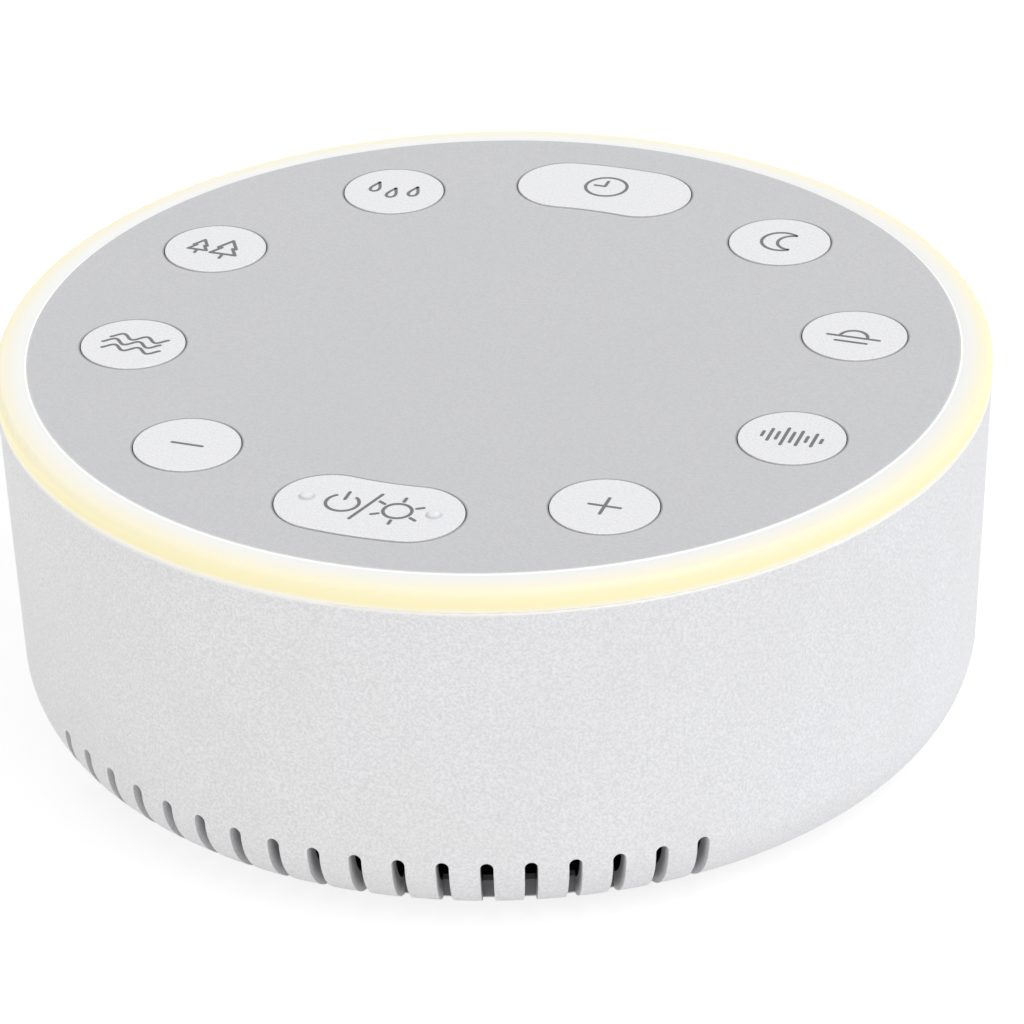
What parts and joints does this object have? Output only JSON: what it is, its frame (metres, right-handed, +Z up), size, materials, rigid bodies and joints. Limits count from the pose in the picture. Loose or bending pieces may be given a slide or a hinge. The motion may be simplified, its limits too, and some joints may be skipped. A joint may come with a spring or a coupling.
{
  "type": "white noise machine",
  "caption": "Round tabletop white noise machine with a night-light ring, push buttons on top, sound slots low at the front and a down-firing speaker inside.",
  "frame": {"origin": "on the table surface that the rubber feet stand on, under the centre of the disc", "axes": "+Z up along the axis of the disc; -Y is the front, with the power and light button and the sound slots; +Y is the rear, with the power socket; +X is to the right seen from the front"},
  "size_m": [0.112, 0.112, 0.0442],
  "materials": {
    "white_housing": "fine spark texture",
    "warm_diffuser": "milky satin",
    "grey_panel": "fine matte",
    "cap_plastic": "satin",
    "stem_plastic": "smooth",
    "switch_metal": "pressed",
    "board_green": "solder mask",
    "chip_black": "moulded",
    "led_white": "glossy",
    "abs_natural": "matte",
    "foam_black": "foam",
    "surround_rubber": "satin",
    "basket_steel": "satin black",
    "cone_paper": "pressed paper",
    "coil_copper": "enamelled wire",
    "spider_cloth": "resin cloth",
    "zinc_steel": "zinc plated",
    "ferrite": "sintered",
    "tag_board": "laminate",
    "foot_rubber": "matte",
    "socket_steel": "plated",
    "tongue_black": "moulded",
    "connector_white": "moulded",
    "lead_insulation": "smooth",
    "screw_steel": "zinc plated"
  },
  "bodies": {
    "housing": {"housing_shell": "white_housing", "light_ring": "warm_diffuser", "top_panel": "grey_panel", "tact_switches": "switch_metal", "control_board": "board_green", "board_parts": "chip_black", "light_board": "board_green", "ring_lights": "led_white", "speaker_baffle": "abs_natural", "speaker_gasket": "foam_black", "speaker_surround": "surround_rubber", "speaker_frame": "basket_steel", "speaker_spider": "spider_cloth", "yoke_plate": "zinc_steel", "speaker_magnet": "ferrite", "back_plate": "zinc_steel", "speaker_terminals": "tag_board", "base_cover": "white_housing", "rubber_feet": "foot_rubber", "socket_shell": "socket_steel", "socket_tongue": "tongue_black", "inlet_board": "board_green", "lead_connectors": "connector_white", "speaker_leads": "lead_insulation", "inlet_leads": "lead_insulation", "light_leads": "lead_insulation", "panel_screws": "screw_steel", "board_screws": "screw_steel", "baffle_screws": "screw_steel", "speaker_screws": "screw_steel", "inlet_screws": "screw_steel", "base_screws": "screw_steel"},
    "power_light_button": {"power_light_button": "cap_plastic", "power_light_stem": "stem_plastic"},
    "volume_up_button": {"volume_up_button": "cap_plastic", "volume_up_stem": "stem_plastic"},
    "white_noise_button": {"white_noise_button": "cap_plastic", "white_noise_stem": "stem_plastic"},
    "calm_button": {"calm_button": "cap_plastic", "calm_stem": "stem_plastic"},
    "relax_button": {"relax_button": "cap_plastic", "relax_stem": "stem_plastic"},
    "timer_button": {"timer_button": "cap_plastic", "timer_stem": "stem_plastic"},
    "rain_button": {"rain_button": "cap_plastic", "rain_stem": "stem_plastic"},
    "forest_button": {"forest_button": "cap_plastic", "forest_stem": "stem_plastic"},
    "ocean_button": {"ocean_button": "cap_plastic", "ocean_stem": "stem_plastic"},
    "volume_down_button": {"volume_down_button": "cap_plastic", "volume_down_stem": "stem_plastic"},
    "speaker_cone": {"speaker_cone": "cone_paper", "dust_cap": "cone_paper", "voice_coil": "coil_copper"}
  },
  "joints": [
    {"name": "power_light_press", "type": "slide", "parent": "housing", "child": "power_light_button", "axis": [0, 0, -1], "range_m": [0, 0.0003], "stiffness_N_per_m": 3000},
    {"name": "volume_up_press", "type": "slide", "parent": "housing", "child": "volume_up_button", "axis": [0, 0, -1], "range_m": [0, 0.0003], "stiffness_N_per_m": 3000},
    {"name": "white_noise_press", "type": "slide", "parent": "housing", "child": "white_noise_button", "axis": [0, 0, -1], "range_m": [0, 0.0003], "stiffness_N_per_m": 3000},
    {"name": "calm_press", "type": "slide", "parent": "housing", "child": "calm_button", "axis": [0, 0, -1], "range_m": [0, 0.0003], "stiffness_N_per_m": 3000},
    {"name": "relax_press", "type": "slide", "parent": "housing", "child": "relax_button", "axis": [0, 0, -1], "range_m": [0, 0.0003], "stiffness_N_per_m": 3000},
    {"name": "timer_press", "type": "slide", "parent": "housing", "child": "timer_button", "axis": [0, 0, -1], "range_m": [0, 0.0003], "stiffness_N_per_m": 3000},
    {"name": "rain_press", "type": "slide", "parent": "housing", "child": "rain_button", "axis": [0, 0, -1], "range_m": [0, 0.0003], "stiffness_N_per_m": 3000},
    {"name": "forest_press", "type": "slide", "parent": "housing", "child": "forest_button", "axis": [0, 0, -1], "range_m": [0, 0.0003], "stiffness_N_per_m": 3000},
    {"name": "ocean_press", "type": "slide", "parent": "housing", "child": "ocean_button", "axis": [0, 0, -1], "range_m": [0, 0.0003], "stiffness_N_per_m": 3000},
    {"name": "volume_down_press", "type": "slide", "parent": "housing", "child": "volume_down_button", "axis": [0, 0, -1], "range_m": [0, 0.0003], "stiffness_N_per_m": 3000},
    {"name": "cone_stroke", "type": "slide", "parent": "housing", "child": "speaker_cone", "axis": [0, 0, 1], "range_m": [-0.0005, 0.0005], "stiffness_N_per_m": 1200, "deforming": ["speaker_surround", "speaker_spider"]}
  ]
}
